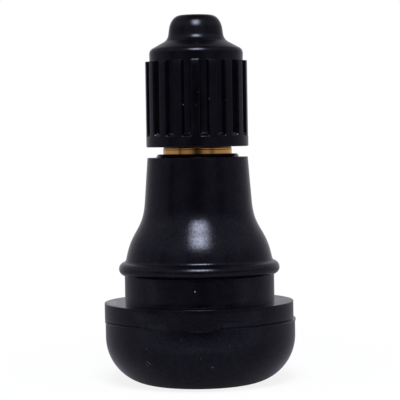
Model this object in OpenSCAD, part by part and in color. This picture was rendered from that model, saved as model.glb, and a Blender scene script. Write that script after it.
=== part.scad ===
// Snap-in tyre valve: a brass stem moulded into a rubber body, a spring-loaded core and a ribbed screw cap.
// Sizes are in millimetres. The valve stands on z = 0 and its axis is Z.

/* [Rubber body] */
// Diameter of the base below the mould line
base_d = 18.9; // [17.8:0.02:20]
// Height of the base, up to the face that seals on the rim
base_h = 8.03; // [7.4:0.01:9.5]
// Radius that rounds the foot of the base
foot_round = 4.7; // [3.5:0.1:5.4]
// Height of the mould line on the side of the base
mould_line_h = 6.28; // [5.7:0.02:6.9]
// Step inwards above the mould line
mould_step = 0.03; // [0:0.01:0.1]
// Flash that stands out at the mould line
flash_w = 0.14; // [0.04:0.02:0.2]
// Thickness of the flash at its root
flash_t = 0.14; // [0.08:0.02:0.2]
// Diameter of the groove that sits in the rim hole
seat_d = 14.84; // [13.6:0.02:15.2]
// Width of the groove between the base and the bead
seat_w = 2.81; // [2:0.01:4]
// Diameter over the bead that snaps through the rim hole
bead_d = 15.94; // [15.6:0.02:16.6]
// Thickness of the half-round bead
bead_t = 1.2; // [0.9:0.02:1.5]
// Diameter at the foot of the bell
bell_d = 14.64; // [13.6:0.02:15.2]
// Height of the bell
bell_h = 6.16; // [5:0.02:8]
// Lean of the bell wall at its foot, in degrees
bell_lean = 11.3; // [4:0.1:16]
// Share of the bell height over which each end keeps its direction
bell_pull = 0.5; // [0.35:0.01:0.6]
// Diameter at the foot of the neck
neck_low_d = 10.6; // [10.2:0.02:11.4]
// Diameter at the top of the neck
neck_top_d = 9.94; // [9.6:0.02:10.1]
// Length of the neck
neck_l = 4.25; // [3:0.05:7]
// Rounding of the upper edges of the rubber
edge_round = 0.1; // [0.04:0.01:0.14]
// Diameter of the raised ring on top of the neck
ring_d = 8.04; // [7.6:0.02:9]
// Height of the raised ring
ring_h = 0.33; // [0.3:0.01:0.6]
// Diameter of the air hole in the foot
air_hole_d = 4; // [3.8:0.05:4.8]

/* [Brass stem] */
// Outside diameter of the valve thread
valve_thread_d = 7.7; // [7.5:0.02:7.8]
// Length of the stem above the rubber
bare_l = 9.42; // [8.9:0.02:11]
// Diameter of the waist between the thread and the rubber
waist_d = 6.64; // [6.3:0.02:7]
// Length of the waist above the rubber
waist_l = 1.1; // [0.8:0.05:2]
// Length of the waist inside the rubber
waist_root_l = 1; // [0.6:0.1:2]
// Chamfer round the mouth
mouth_chamfer = 0.5; // [0.2:0.05:0.7]
// Chamfer of the tapped hole at the mouth
tap_chamfer = 0.3; // [0.1:0.05:0.5]
// Diameter of the shank inside the rubber
shank_d = 7.5; // [7.1:0.1:8]
// Number of grip grooves round the shank
grip_count = 4; // [2:1:5]
// Depth of a grip groove
grip_depth = 0.35; // [0.15:0.05:0.4]
// Width of the floor of a grip groove
grip_floor_w = 0.35; // [0.2:0.05:0.6]
// Spacing of the grip grooves
grip_pitch = 1.8; // [1.5:0.1:2.1]
// Diameter of the flared foot of the stem
stem_foot_d = 9.4; // [8.6:0.1:10.4]
// Thickness of the flared foot
stem_foot_t = 1; // [0.6:0.1:1.4]
// Height of the lower end of the stem
stem_end_h = 5.6; // [4.8:0.1:6.2]

/* [Core plug] */
// Outside diameter of the plug thread
plug_d = 5.16; // [5:0.02:5.2]
// Length of the plug thread
plug_l = 3.3; // [2.8:0.1:3.8]
// Depth of the bridge below the mouth of the stem
bridge_set = 2.4; // [2:0.1:3]
// Height of the bridge
bridge_h = 1.6; // [1.2:0.1:2]
// Width of the bridge
bridge_w = 3.8; // [3.2:0.1:4]
// Thickness of the bridge
bridge_t = 1.5; // [1.4:0.05:1.8]
// Depth to which the bridge reaches into the airway
bridge_root = 0.8; // [0.4:0.1:1.4]
// Diameter of the airway through the plug
plug_bore_d = 2.6; // [2.2:0.1:3]
// Outside diameter of the skirt below the thread
skirt_d = 4.2; // [4.1:0.02:4.26]
// Length of the skirt
skirt_l = 1.4; // [1.2:0.1:1.8]
// Thickness of the lip that holds the barrel
lip_t = 0.4; // [0.3:0.05:0.5]
// Chamfer of the outer edges of the plug
plug_edge = 0.25; // [0.1:0.05:0.35]

/* [Core barrel] */
// Diameter of the head that turns in the plug
head_d = 3.3; // [3.1:0.05:3.4]
// Height of the head
head_h = 0.6; // [0.4:0.05:0.7]
// Diameter of the neck below the head
barrel_neck_d = 2.64; // [2.56:0.02:2.8]
// Diameter of the shoulder above the seal
shoulder_d = 3.7; // [3.5:0.05:3.9]
// Thickness of the shoulder
shoulder_t = 0.5; // [0.4:0.05:0.7]
// Diameter of the barrel inside the seal
seal_root_d = 2.7; // [2.6:0.02:2.8]
// Diameter of the barrel below the seal
barrel_d = 3; // [2.9:0.02:3.1]
// Length of the barrel below the seal
barrel_l = 5.7; // [5:0.1:6.4]
// Bore of the barrel
barrel_bore_d = 2.2; // [2.12:0.02:2.3]
// Thickness of the floor under the spring
floor_t = 0.9; // [0.7:0.05:1.2]
// Diameter of the air hole in the floor
floor_hole_d = 1.6; // [1.5:0.02:1.7]
// Diameter of the sealing rim
rim_d = 2.6; // [2.44:0.02:2.7]
// Width of the sealing rim
rim_w = 0.25; // [0.15:0.05:0.35]
// Height of the sealing rim
rim_h = 0.3; // [0.2:0.05:0.4]

/* [Barrel seal] */
// Length of the seal
seal_l = 2.6; // [2.2:0.1:3]
// Diameter of the seal at its upper end
seal_top_d = 4.2; // [4.14:0.02:4.3]
// Diameter of the seal at its lower end
seal_low_d = 3.6; // [3.54:0.02:3.7]

/* [Core pin, spring and seat] */
// Diameter of the pin
pin_d = 1.1; // [1:0.02:1.16]
// Depth of the pin tip below the mouth of the stem
pin_set = 0.3; // [0.1:0.05:0.8]
// Rounding of the pin tip
tip_round = 0.35; // [0.1:0.05:0.45]
// Diameter of the collar that the spring pushes on
collar_d = 2; // [1.9:0.02:2.06]
// Thickness of the collar
collar_t = 0.5; // [0.3:0.05:0.7]
// Length of the spring
spring_l = 7.4; // [6.6:0.1:7.8]
// Number of turns of the spring
spring_turns = 11; // [8:1:14]
// Thickness of the spring wire
wire_d = 0.26; // [0.2:0.02:0.3]
// Diameter of the seat washer
washer_d = 2.8; // [2.7:0.02:2.88]
// Thickness of the seat washer
washer_t = 0.9; // [0.7:0.05:1.2]
// Wall of the seat cup
cup_wall = 0.16; // [0.12:0.02:0.2]
// Height of the seat cup
cup_h = 0.7; // [0.5:0.05:0.8]
// Diameter of the riveted foot of the pin
rivet_d = 1.7; // [1.4:0.1:2]
// Thickness of the riveted foot
rivet_t = 0.4; // [0.3:0.05:0.6]
// Rounding of the riveted foot
rivet_round = 0.25; // [0.1:0.05:0.25]

/* [Cap] */
// Diameter over the ribs and the plain band
cap_d = 10.1; // [9.9:0.02:10.6]
// Depth of the threaded hole
cap_depth = 9.23; // [8.8:0.01:9.8]
// Rounding of the lower edge
cap_edge_round = 0.12; // [0.05:0.01:0.2]
// Height of the plain band
band_h = 1.09; // [0.6:0.01:1.6]
// Height of the slope in which each groove runs out
runout_h = 0.29; // [0.1:0.01:0.6]
// Height of the rib tops above the lower edge
rib_top_h = 8.49; // [7.6:0.01:8.8]
// Number of ribs
rib_count = 18; // [12:1:20]
// Width of a rib at its crest
rib_crest_w = 0.86; // [0.5:0.02:0.96]
// Width of a rib at its root
rib_root_w = 0.98; // [0.6:0.02:1.1]
// Depth of the grooves between the ribs
groove_depth = 0.41; // [0.2:0.01:0.46]
// Height of the shoulder corner above the lower edge
shoulder_top_h = 9.56; // [9.3:0.01:10]
// Diameter at the shoulder corner
shoulder_top_d = 9.22; // [9:0.02:9.28]
// Rounding of the shoulder corner
shoulder_round = 0.35; // [0.1:0.05:0.6]
// Height of the foot of the dome above the lower edge
dome_foot_h = 10.63; // [10.4:0.01:11]
// Diameter at the foot of the dome
dome_foot_d = 5.58; // [5.2:0.02:6]
// Diameter of the dome where its side would meet its top
dome_top_d = 4.72; // [4.4:0.02:5]
// Fillet at the foot of the dome
dome_fillet = 0.7; // [0.3:0.05:1]
// Rounding of the top of the dome
dome_round = 1.4; // [0.6:0.05:1.5]
// Height of the whole cap
cap_h = 13.18; // [12.8:0.01:14]
// Diameter of the hollow in the dome
hollow_d = 3.2; // [2.6:0.1:3.4]
// Thickness of the top of the dome
top_wall = 1.15; // [0.8:0.05:1.6]

/* [Cap gasket] */
// Thickness of the gasket
gasket_t = 0.6; // [0.4:0.05:0.9]
// Hole of the gasket
gasket_hole_d = 4.6; // [4.4:0.1:5.2]

/* [Fits] */
// Gap between the rubber and the brass
bond_gap = 0.02; // [0.01:0.01:0.03]
// Radial gap between the cap and the stem thread
cap_gap = 0.05; // [0.03:0.01:0.1]
// Radial gap between the core plug and the stem
plug_gap = 0.04; // [0.02:0.01:0.08]
// Gap round the barrel head and neck inside the plug
swivel_gap = 0.05; // [0.03:0.01:0.08]
// Gap between the barrel seal and the taper of the stem
taper_gap = 0.02; // [0.01:0.01:0.04]
// Radial gap round the pin in the bridge
pin_gap = 0.08; // [0.04:0.01:0.1]
// Radial gap between pieces that are fixed together
fixed_gap = 0.01; // [0.01:0.01:0.02]

/* [Hidden] */
$fn = 48;
rubber_black = "#1a1a1c";
cap_black = "#131315";
brass = "#b08d4f";
steel = "#b9bbbd";
seal_white = "#e6e2d6";

// Levels of the rubber, from the foot upwards
bead_z = base_h + seat_w + bead_t / 2;
bell_z = bead_z + bead_t / 2;
neck_z = bell_z + bell_h;
neck_top_z = neck_z + neck_l;
ring_z = neck_top_z + ring_h;

// Levels of the stem and the plug, from the mouth downwards
mouth_z = ring_z + bare_l;
bridge_z = mouth_z - bridge_set;
plug_top_z = bridge_z - bridge_h;
plug_end_z = plug_top_z - plug_l;
skirt_end_z = plug_end_z - skirt_l;
shank_top_z = neck_top_z - waist_root_l;

// Levels of the barrel
lip_z = skirt_end_z + lip_t;
head_z = lip_z + swivel_gap;
barrel_top_z = head_z + head_h;
shoulder_z = skirt_end_z - swivel_gap;
seal_top_z = shoulder_z - shoulder_t;
seal_end_z = seal_top_z - seal_l;
barrel_end_z = seal_end_z - barrel_l;
rim_root_z = barrel_end_z + rim_h;
floor_z = rim_root_z + floor_t;

// Levels of the pin and its seat
collar_z = floor_z + spring_l;
washer_end_z = barrel_end_z - washer_t;
cup_end_z = washer_end_z - cup_wall;
cup_bore_r = washer_d / 2 + fixed_gap;
rivet_end_z = cup_end_z - rivet_t;

// Levels and radii of the cap
roof_z = mouth_z + gasket_t;
cap_z = roof_z - cap_depth;
cap_top_z = cap_z + cap_h;
rib_top_z = cap_z + rib_top_h;
cap_bore_r = valve_thread_d / 2 + cap_gap;
groove_r = cap_d / 2 - groove_depth;

// Tapped hole and taper of the stem, shaped by the core that fits in them
tapped_r = plug_d / 2 + plug_gap;
taper_top_r = seal_top_d / 2 + taper_gap;
taper_low_r = seal_low_d / 2 + taper_gap;
taper_rate = (taper_top_r - taper_low_r) / seal_l;
tap_end_r = taper_top_r + taper_rate * shoulder_t;
tap_end_z = shoulder_z + tapped_r - tap_end_r;

function unit(v) = v / norm(v);

// Points of an arc round the centre m
function arc(m, r, from, to, n) =
    [for (i = [0 : n]) m + r * [cos(from + (to - from) * i / n), sin(from + (to - from) * i / n)]];

// Corner b of a path from a to c, rounded to the radius r
function bend(a, b, c, r, n) =
    let (
        u = unit(a - b),
        v = unit(c - b),
        half = acos(u * v) / 2,
        m = b + unit(u + v) * r / sin(half),
        p = b + u * r / tan(half) - m,
        q = b + v * r / tan(half) - m,
        from = atan2(p.y, p.x),
        turn = atan2(q.y, q.x) - from
    )
    arc(m, r, from, from + (turn > 180 ? turn - 360 : turn < -180 ? turn + 360 : turn), n);

// Cubic curve through the control points p
function curve(p, n) =
    [for (i = [0 : n])
        let (t = i / n, s = 1 - t)
        s * s * s * p[0] + 3 * s * s * t * p[1] + 3 * s * t * t * p[2] + t * t * t * p[3]];

// Outline of the stem where the rubber holds it, from its foot up to the waist
function stem_grip() =
    let (
        foot_r = stem_foot_d / 2,
        shank_r = shank_d / 2,
        root_r = shank_r - grip_depth,
        half_w = grip_floor_w / 2,
        foot_top_z = stem_end_h + stem_foot_t,
        grip_top_z = shank_top_z - grip_pitch
    )
    concat(
        [[foot_r, stem_end_h], [foot_r, foot_top_z], [shank_r, foot_top_z + foot_r - shank_r]],
        [for (i = [grip_count - 1 : -1 : 0], p = [
            [shank_r, -half_w - grip_depth],
            [root_r, -half_w],
            [root_r, half_w],
            [shank_r, half_w + grip_depth]
        ]) [p.x, grip_top_z - i * grip_pitch + p.y]],
        [[shank_r, shank_top_z - shank_r + waist_d / 2], [waist_d / 2, shank_top_z]]
    );

module rubber_body() {
    base_r = base_d / 2;
    upper_r = base_r - mould_step;
    bead_r = bead_t / 2;
    bead_m = bead_d / 2 - bead_r;
    neck_lean = (neck_low_d - neck_top_d) / 2 / neck_l;
    pull = bell_pull * bell_h;
    foot = bend([0, 0], [base_r, 0], [base_r, mould_line_h], foot_round, 16);
    flash = [
        [base_r, mould_line_h - flash_t / 2],
        [base_r + flash_w, mould_line_h],
        [upper_r, mould_line_h + flash_t / 2]
    ];
    seat_face = bend([upper_r, mould_line_h], [upper_r, base_h], [0, base_h], edge_round, 4);
    bead = arc([bead_m, bead_z], bead_r,
        -acos(max(0, (seat_d / 2 - bead_m) / bead_r)), acos(max(0, (bell_d / 2 - bead_m) / bead_r)), 12);
    bell = curve([
        [bell_d / 2, bell_z],
        [bell_d / 2 - pull * tan(bell_lean), bell_z + pull],
        [neck_low_d / 2 + pull * neck_lean, neck_z - pull],
        [neck_low_d / 2, neck_z]
    ], 16);
    neck_edge = bend(
        [neck_low_d / 2, neck_z], [neck_top_d / 2, neck_top_z], [0, neck_top_z], edge_round, 4);
    ring_edge = bend([ring_d / 2, neck_top_z], [ring_d / 2, ring_z], [0, ring_z], edge_round, 4);
    hold = [for (p = stem_grip()) [p.x + bond_gap, p.y]];
    color(rubber_black)
        rotate_extrude()
            polygon(concat(
                [[air_hole_d / 2, 0]],
                foot, flash, seat_face,
                [[seat_d / 2, base_h]],
                bead, bell, neck_edge,
                [[ring_d / 2, neck_top_z]],
                ring_edge,
                [[waist_d / 2 + bond_gap, ring_z]],
                [for (i = [len(hold) - 1 : -1 : 0]) hold[i]],
                [[air_hole_d / 2, stem_end_h]]
            ));
}

module brass_stem() {
    thread_r = valve_thread_d / 2;
    waist_top_z = ring_z + waist_l;
    color(brass)
        rotate_extrude()
            polygon(concat(
                [[taper_low_r, stem_end_h]],
                stem_grip(),
                [
                    [waist_d / 2, waist_top_z],
                    [thread_r, waist_top_z + thread_r - waist_d / 2],
                    [thread_r, mouth_z - mouth_chamfer],
                    [thread_r - mouth_chamfer, mouth_z],
                    [tapped_r + tap_chamfer, mouth_z],
                    [tapped_r, mouth_z - tap_chamfer],
                    [tapped_r, tap_end_z],
                    [tap_end_r, shoulder_z],
                    [taper_low_r, seal_end_z]
                ]
            ));
}

module core_plug() {
    thread_r = plug_d / 2;
    cavity_r = head_d / 2 + swivel_gap;
    color(brass)
        difference() {
            union() {
                rotate_extrude()
                    polygon([
                        [barrel_neck_d / 2 + swivel_gap, skirt_end_z],
                        [skirt_d / 2 - plug_edge, skirt_end_z],
                        [skirt_d / 2, skirt_end_z + plug_edge],
                        [skirt_d / 2, plug_end_z],
                        [thread_r - plug_edge, plug_end_z],
                        [thread_r, plug_end_z + plug_edge],
                        [thread_r, plug_top_z - plug_edge],
                        [thread_r - plug_edge, plug_top_z],
                        [plug_bore_d / 2, plug_top_z],
                        [plug_bore_d / 2, barrel_top_z],
                        [cavity_r, barrel_top_z],
                        [cavity_r, lip_z],
                        [barrel_neck_d / 2 + swivel_gap, lip_z]
                    ]);
                intersection() {
                    translate([-bridge_w / 2, -bridge_t / 2, plug_top_z - bridge_root])
                        cube([bridge_w, bridge_t, bridge_h + bridge_root]);
                    cylinder(h = bridge_z, d = bridge_w);
                }
            }
            cylinder(h = mouth_z, r = pin_d / 2 + pin_gap);
        }
}

module core_barrel() {
    rim_r = rim_d / 2;
    color(brass)
        rotate_extrude()
            polygon([
                [rim_r - rim_w, barrel_end_z],
                [rim_r, barrel_end_z],
                [rim_r, rim_root_z],
                [barrel_d / 2, rim_root_z],
                [barrel_d / 2, seal_end_z],
                [seal_root_d / 2, seal_end_z],
                [seal_root_d / 2, seal_top_z],
                [shoulder_d / 2, seal_top_z],
                [shoulder_d / 2, shoulder_z],
                [barrel_neck_d / 2, shoulder_z],
                [barrel_neck_d / 2, head_z],
                [head_d / 2, head_z],
                [head_d / 2, barrel_top_z],
                [barrel_bore_d / 2, barrel_top_z],
                [barrel_bore_d / 2, floor_z],
                [floor_hole_d / 2, floor_z],
                [floor_hole_d / 2, rim_root_z],
                [rim_r - rim_w, rim_root_z]
            ]);
}

module barrel_seal() {
    bore_r = seal_root_d / 2 + fixed_gap;
    color(seal_white)
        rotate_extrude()
            polygon([
                [bore_r, seal_end_z],
                [seal_low_d / 2, seal_end_z],
                [seal_top_d / 2, seal_top_z],
                [bore_r, seal_top_z]
            ]);
}

module core_pin() {
    pin_r = pin_d / 2;
    tip = bend([pin_r, bridge_z], [pin_r, mouth_z - pin_set], [0, mouth_z - pin_set], tip_round, 5);
    rivet = bend([0, rivet_end_z], [rivet_d / 2, rivet_end_z], [rivet_d / 2, cup_end_z], rivet_round, 4);
    color(steel)
        rotate_extrude()
            polygon(concat(
                [[0, rivet_end_z]],
                rivet,
                [
                    [rivet_d / 2, cup_end_z],
                    [pin_r, cup_end_z],
                    [pin_r, collar_z],
                    [collar_d / 2, collar_z],
                    [collar_d / 2, collar_z + collar_t],
                    [pin_r, collar_z + collar_t]
                ],
                tip,
                [[0, mouth_z - pin_set]]
            ));
}

module core_spring() {
    sides = 8;
    steps = 16;
    coil_r = (pin_d + barrel_bore_d) / 4;
    low_z = floor_z + wire_d / 2 + fixed_gap;
    rise = spring_l - wire_d - 2 * fixed_gap;
    count = spring_turns * steps;
    end_rise = 0.9 * wire_d;
    // Height of the wire after s turns: one flat turn at each end, an even pitch between
    function lift(s) =
        s < 1 ? end_rise * s * s / 2
        : s > spring_turns - 1 ? rise - end_rise * pow(spring_turns - s, 2) / 2
        : end_rise / 2 + (rise - end_rise) * (s - 1) / (spring_turns - 2);
    points = [for (i = [0 : count], k = [0 : sides - 1])
        let (a = 360 * i / steps, b = 360 * k / sides, r = coil_r + wire_d / 2 * cos(b))
        [r * cos(a), r * sin(a), low_z + lift(i / steps) + wire_d / 2 * sin(b)]];
    faces = concat(
        [[for (k = [sides - 1 : -1 : 0]) k]],
        [for (i = [0 : count - 1], k = [0 : sides - 1])
            let (n = (k + 1) % sides)
            [i * sides + k, i * sides + n, (i + 1) * sides + n, (i + 1) * sides + k]],
        [[for (k = [0 : sides - 1]) count * sides + k]]
    );
    color(steel)
        polyhedron(points, faces, convexity = 10);
}

module seat_cup() {
    outer_r = cup_bore_r + cup_wall;
    hole_r = pin_d / 2 + fixed_gap;
    color(brass)
        rotate_extrude()
            polygon(concat(
                [[hole_r, cup_end_z]],
                bend([0, cup_end_z], [outer_r, cup_end_z], [outer_r, cup_end_z + cup_h], cup_wall, 4),
                [
                    [outer_r, cup_end_z + cup_h],
                    [cup_bore_r, cup_end_z + cup_h],
                    [cup_bore_r, washer_end_z],
                    [hole_r, washer_end_z]
                ]
            ));
}

module seat_washer() {
    color(rubber_black)
        translate([0, 0, washer_end_z])
            difference() {
                cylinder(h = washer_t, d = washer_d);
                translate([0, 0, -washer_t])
                    cylinder(h = 3 * washer_t, r = pin_d / 2 + fixed_gap);
            }
}

// Outline of the cap, with the ribs not yet cut
function cap_outline() =
    let (
        rib_edge = [groove_r, rib_top_z],
        shoulder = [shoulder_top_d / 2, cap_z + shoulder_top_h],
        dome_foot = [dome_foot_d / 2, cap_z + dome_foot_h],
        dome_top = [dome_top_d / 2, cap_top_z]
    )
    concat(
        [[cap_bore_r, cap_z]],
        bend([0, cap_z], [cap_d / 2, cap_z], [cap_d / 2, rib_top_z], cap_edge_round, 4),
        [[cap_d / 2, rib_top_z], rib_edge],
        bend(rib_edge, shoulder, dome_foot, shoulder_round, 6),
        bend(shoulder, dome_foot, dome_top, dome_fillet, 8),
        bend(dome_foot, dome_top, [0, cap_top_z], dome_round, 10),
        [
            [0, cap_top_z],
            [0, cap_top_z - top_wall],
            [hollow_d / 2, cap_top_z - top_wall],
            [hollow_d / 2, roof_z],
            [cap_bore_r, roof_z]
        ]
    );

// Grooves between the ribs, each with a sloping run-out above the plain band
module cap_grooves() {
    band_z = cap_z + band_h;
    slope = runout_h / groove_depth;
    reach = 0.5;
    difference() {
        rotate_extrude()
            polygon([
                [groove_r, band_z + runout_h],
                [cap_d / 2 + reach, band_z - slope * reach],
                [cap_d / 2 + reach, rib_top_z + reach],
                [groove_r, rib_top_z + reach]
            ]);
        for (i = [0 : rib_count - 1])
            rotate([0, 0, 360 * i / rib_count - 90])
                translate([0, 0, cap_z])
                    linear_extrude(height = cap_h)
                        polygon([
                            [groove_r - reach, -rib_root_w / 2],
                            [groove_r, -rib_root_w / 2],
                            [cap_d / 2, -rib_crest_w / 2],
                            [cap_d / 2 + 2 * reach, -rib_crest_w / 2],
                            [cap_d / 2 + 2 * reach, rib_crest_w / 2],
                            [cap_d / 2, rib_crest_w / 2],
                            [groove_r, rib_root_w / 2],
                            [groove_r - reach, rib_root_w / 2]
                        ]);
    }
}

module cap_shell() {
    color(cap_black)
        difference() {
            rotate_extrude()
                polygon(cap_outline());
            cap_grooves();
        }
}

module cap_gasket() {
    color(rubber_black)
        translate([0, 0, mouth_z])
            difference() {
                cylinder(h = gasket_t, r = cap_bore_r - cap_gap);
                translate([0, 0, -gasket_t])
                    cylinder(h = 3 * gasket_t, d = gasket_hole_d);
            }
}

rubber_body();
brass_stem();
core_plug();
core_barrel();
barrel_seal();
core_pin();
core_spring();
seat_cup();
seat_washer();
cap_shell();
cap_gasket();
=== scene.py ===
import math

import bmesh
import bpy
from mathutils import Matrix, Vector, noise


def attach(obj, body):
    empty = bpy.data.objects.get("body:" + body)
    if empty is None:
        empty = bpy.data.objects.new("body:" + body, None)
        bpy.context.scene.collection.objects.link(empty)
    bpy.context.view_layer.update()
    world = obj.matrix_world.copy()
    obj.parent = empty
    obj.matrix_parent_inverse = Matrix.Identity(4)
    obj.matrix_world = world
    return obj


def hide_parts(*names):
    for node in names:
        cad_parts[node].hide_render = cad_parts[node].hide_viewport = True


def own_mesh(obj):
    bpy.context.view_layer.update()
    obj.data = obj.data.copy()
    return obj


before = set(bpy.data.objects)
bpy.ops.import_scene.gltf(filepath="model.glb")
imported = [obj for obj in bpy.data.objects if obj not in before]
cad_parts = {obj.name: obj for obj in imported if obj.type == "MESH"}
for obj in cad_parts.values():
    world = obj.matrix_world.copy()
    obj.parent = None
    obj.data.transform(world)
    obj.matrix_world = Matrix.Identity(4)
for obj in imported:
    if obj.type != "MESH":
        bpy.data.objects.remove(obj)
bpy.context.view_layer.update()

scene = bpy.context.scene
scene.view_settings.view_transform = "Standard"
mm = 0.001

# camera at the photo's angle: nearly level, a little above the middle of the valve
cameraPlace = {
    "distance": 170 * mm,
    "height": 24.6 * mm,
    "azimuth": math.radians(1.5),
    "pitch": math.radians(2.131),
    "roll": math.radians(-0.893),
    "aside": 0.1735 * mm,  # the valve's axis stands a little left of the middle
    "lens": 153.0, "sensor": 36.0, "clip": (1 * mm, 20.0),
}


def placeCamera(place):
    lens = bpy.data.cameras.new("photoCamera")
    lens.sensor_width = place["sensor"]
    lens.lens = place["lens"]
    lens.clip_start, lens.clip_end = place["clip"]
    camera = bpy.data.objects.new("photoCamera", lens)
    scene.collection.objects.link(camera)
    turn = Matrix.Rotation(place["azimuth"], 4, "Z")
    spot = turn @ Vector((place["aside"], -place["distance"], place["height"]))
    tilt = Matrix.Rotation(math.pi / 2 - place["pitch"], 4, "X")
    camera.matrix_world = Matrix.Translation(spot) @ turn @ tilt @ Matrix.Rotation(place["roll"], 4, "Z")
    scene.camera = camera


placeCamera(cameraPlace)
print("camera placed")


# adds one node; links maps an input's name or number to a value, a socket, or a node for its first output
def addNode(tree, kind, links=None, **settings):
    node = tree.nodes.new(kind)
    for key, value in settings.items():
        setattr(node, key, value)
    for key, value in (links or {}).items():
        if isinstance(value, bpy.types.Node):
            value = next(socket for socket in value.outputs if socket.enabled)
        if isinstance(value, bpy.types.NodeSocket):
            tree.links.new(value, node.inputs[key])
        else:
            node.inputs[key].default_value = value
    return node


# the links of a Map Range node: the range that it reads, and the range that it gives
def reads(low, high):
    return {"From Min": low, "From Max": high}


def gives(low, high):
    return {"To Min": low, "To Max": high}


smooth = {"interpolation_type": "SMOOTHSTEP"}


def fromHex(code):
    parts = [int(code[i:i + 2], 16) / 255 for i in (1, 3, 5)]
    return tuple(p / 12.92 if p <= 0.04045 else ((p + 0.055) / 1.055) ** 2.4 for p in parts) + (1.0,)


def newMaterial(name):
    material = bpy.data.materials.new(name)
    material.use_nodes = True
    tree = material.node_tree
    tree.nodes.clear()
    where = addNode(tree, "ShaderNodeTexCoord").outputs["Object"]
    return material, tree, where


def finishMaterial(tree, links):
    shader = addNode(tree, "ShaderNodeBsdfPrincipled", links)
    addNode(tree, "ShaderNodeOutputMaterial", {"Surface": shader})


# in the blacks, dustSize is a share of dustSpacing, and only cells that draw over dustShare hold a fleck
# EPDM rubber, compression moulded: satin black, finely matt from the mould,
# with pale dust caught on it, faint scuffs and one painted sheen on the flange top
rubberLook = {
    "colour": "#040306", "worn": "#09080b", "dustAndSheen": "#a9a7a4", "roughness": (0.14, 0.22),
    "gloss": 0.24, "glossTint": "#e3e7ff", "mottle": 0.28,
    "grain": 0.24 * mm,  # mould grain, drawn coarser than the real 0.02 mm to show
    "grainDepth": 0.34, "blotch": 2.2 * mm, "dustSpacing": 1.5 * mm, "dustSize": 0.035, "dustShare": 0.95,
}
# nylon, injection moulded: a harder, darker black than the rubber, with specks of dust
capLook = {
    "colour": "#030204", "worn": "#070609", "dustAndSheen": "#a09e9c", "roughness": (0.17, 0.25),
    "gloss": 0.24, "glossTint": "#e3e7ff", "mottle": 0.2,
    "grain": 0.12 * mm,  # drawn coarser than the real 0.02 mm
    "grainDepth": 0.08, "blotch": 1.4 * mm, "dustSpacing": 1.2 * mm, "dustSize": 0.04, "dustShare": 0.85,
}
# nitrile rubber, punched from sheet: an even dull black
sealLook = {
    "colour": "#141316", "worn": "#1d1c1f", "dustAndSheen": "#2a292c", "roughness": (0.52, 0.6),
    "gloss": 0.4, "glossTint": "#ffffff", "mottle": 0.1, "grain": 0.08 * mm,
    "grainDepth": 0.1, "blotch": 0.8 * mm, "dustSpacing": 0.7 * mm, "dustSize": 0.03, "dustShare": 0.8,
}
noiseBand = reads(0.3, 0.7)  # most values of a noise lie here
wornBand = reads(0.35, 0.75)
markEdge = reads(0.6, 1.1)  # a mark fades out round its edge, which is at 1
grainHeight = 0.02 * mm

# single specks and scuffs, and one painted sheen: place in mm, the way it runs, half its length and width in mm,
# how much it shows
rubberMarksAndSheen = (
    ((-0.249, -7.476, 9.744), (1, 0, 0), 0.06, 0.06, 0.9),
    ((-4.785, -7.795, 2.995), (0.48, -0.136, -0.41), 0.34, 0.04, 0.2),
    ((-4.917, -7.565, 2.71), (0.48, -0.19, -0.36), 0.26, 0.035, 0.09),
    ((-5.03, -7.572, 2.86), (0.48, -0.19, -0.36), 0.2, 0.03, 0.06),
    ((1.347, -8.907, 2.651), (1, 0.1, 0.25), 0.16, 0.06, 0.14),
    ((2.008, -9.279, 5.379), (0.32, 0.073, -0.64), 0.34, 0.03, 0.025),
    ((-1.552, -9.359, 5.385), (0.12, 0.02, 0.32), 0.18, 0.04, 0.04),
    ((-4.965, -8.06, 4.382), (1, -0.6, 0), 0.07, 0.05, 0.08),
    ((0.26, -9.337, 3.558), (1, 0, 0), 0.06, 0.05, 0.09),
    ((2.998, -9.01, 4.67), (0.05, 0, 0.3), 0.2, 0.03, 0.04),
    ((0.413, -8.295, 1.604), (0, 0.6, 0.7), 0.14, 0.035, 0.06),
    ((-0.825, -8.364, 1.724), (0, 0.6, 0.7), 0.1, 0.04, 0.05),
    ((3.888, -4.349, 16.029), (0.3, 0.1, -0.3), 0.1, 0.06, 0.04),
    # painted sheen in the dust colour: a broad pale patch that lights the flange top at its left front
    ((-8.75, -0.7, 8.15), (-0.1, 1, 0), 2.6, 0.6, 0.3),
)
capMarks = (
    ((-1.205, -4.654, 27.747), (1, 0, 0), 0.08, 0.08, 0.6),
    ((1.34, -4.9, 28.281), (0, 0, 1), 0.09, 0.07, 0.12),
    ((0.302, -5.071, 28.95), (0, 0, 1), 0.09, 0.06, 0.04),
    ((2.949, -4.136, 28.1), (1, 0.6, 0), 0.08, 0.06, 0.03),
    ((0.07, -5.08, 27.7), (0, 0, 1), 0.07, 0.06, 0.03),
)


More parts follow.
